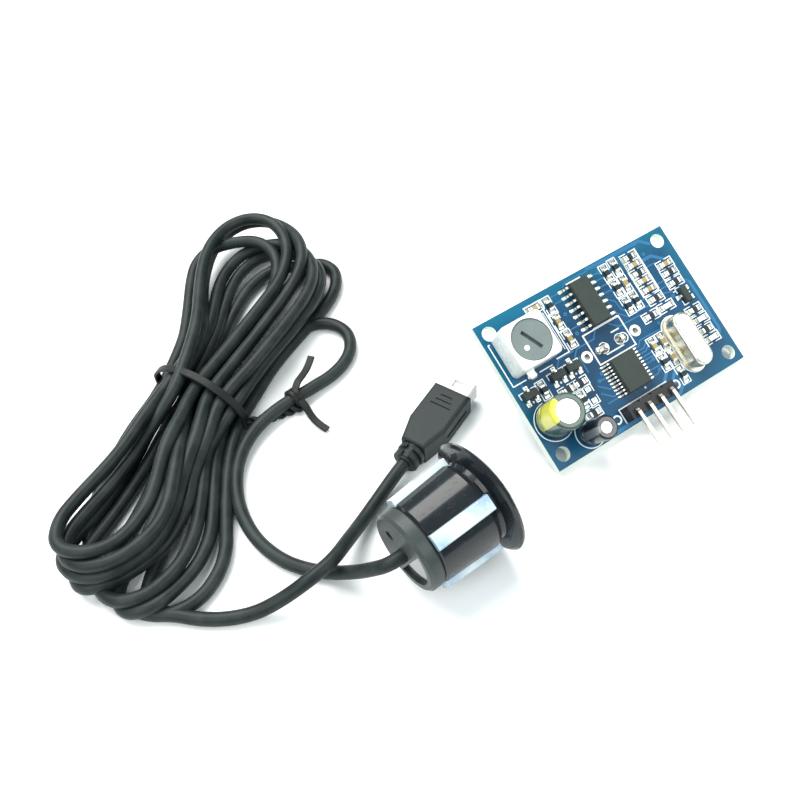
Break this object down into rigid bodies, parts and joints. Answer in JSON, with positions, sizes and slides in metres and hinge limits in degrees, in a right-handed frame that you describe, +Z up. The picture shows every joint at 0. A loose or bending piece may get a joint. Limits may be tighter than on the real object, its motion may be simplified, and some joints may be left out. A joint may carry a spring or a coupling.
{
  "type": "ultrasonic distance sensor",
  "caption": "Small control board with a tuning transformer and a bent pin header, beside a flanged waterproof ultrasonic probe on a tied hank of cable with a plug.",
  "frame": {"origin": "on the desk under the middle of the board and the probe, the cable left out", "axes": "+X along the board's long side away from the probe, +Y from the board's pin header edge towards its transformer edge, +Z up from the desk"},
  "size_m": [0.119, 0.0903, 0.0197],
  "materials": {
    "board_laminate": "satin solder mask",
    "solder": "bright",
    "can_metal": "satin",
    "ferrite": "matte",
    "bobbin_black": "matte",
    "copper_winding": "enamelled",
    "tinned_pin": "satin",
    "chip_black": "matte",
    "resistor_black": "matte",
    "ceramic_tan": "matte",
    "led_white": "translucent",
    "chip_end_metal": "satin",
    "crystal_metal": "polished",
    "green_sleeve": "glossy",
    "black_sleeve": "glossy",
    "capacitor_aluminium": "bright",
    "bung_rubber": "matte",
    "header_plastic": "matte",
    "socket_white": "matte",
    "probe_black": "glossy",
    "rear_cap_black": "matte",
    "strip_film": "glossy",
    "membrane_aluminium": "satin",
    "seal_rubber": "matte",
    "piezo_ceramic": "matte",
    "damping_foam": "matte",
    "potting_resin": "glossy",
    "cable_rubber": "matte",
    "tie_black": "matte",
    "plug_black": "matte",
    "plug_white": "translucent"
  },
  "bodies": {
    "board_and_probe": {"circuit_board": "board_laminate", "solder_joints": "solder", "transformer_can": "can_metal", "transformer_base": "bobbin_black", "transformer_bobbin": "ferrite", "transformer_winding": "copper_winding", "transformer_pins": "tinned_pin", "opamp_body": "chip_black", "opamp_leads": "tinned_pin", "controller_body": "chip_black", "controller_leads": "tinned_pin", "transistor_bodies": "chip_black", "transistor_leads": "tinned_pin", "resistor_bodies": "resistor_black", "resistor_ends": "chip_end_metal", "ceramic_capacitor_bodies": "ceramic_tan", "ceramic_capacitor_ends": "chip_end_metal", "led_bodies": "led_white", "led_ends": "chip_end_metal", "crystal_can": "crystal_metal", "crystal_base": "crystal_metal", "crystal_leads": "tinned_pin", "large_capacitor_sleeve": "green_sleeve", "large_capacitor_can": "capacitor_aluminium", "small_capacitor_sleeve": "black_sleeve", "small_capacitor_can": "capacitor_aluminium", "capacitor_bungs": "bung_rubber", "capacitor_leads": "tinned_pin", "header_block": "header_plastic", "header_pins": "tinned_pin", "cable_socket_housing": "socket_white", "socket_contacts": "tinned_pin", "sensor_barrel": "probe_black", "sensor_flange": "probe_black", "membrane_cup": "membrane_aluminium", "isolation_ring": "seal_rubber", "piezo_disc": "piezo_ceramic", "damping_pad": "damping_foam", "inner_wires": "copper_winding", "potting": "potting_resin", "rear_cap": "rear_cap_black", "rear_resin": "potting_resin", "side_strips": "strip_film", "sensor_cable": "cable_rubber", "cable_hank": "cable_rubber", "plug_cable": "cable_rubber", "cable_tie": "tie_black", "plug_body": "plug_black", "plug_strain_relief": "plug_black", "plug_tip": "plug_white", "plug_contacts": "tinned_pin"},
    "tuning_core_body": {"tuning_core": "ferrite"}
  },
  "joints": [
    {"name": "tuning_core_turn", "type": "hinge", "parent": "board_and_probe", "child": "tuning_core_body", "pos_m": [0.00125, 0.00876, 0.0156], "axis": [0, -0.4848, 0.8746], "range_deg": [-180, 180]}
  ]
}
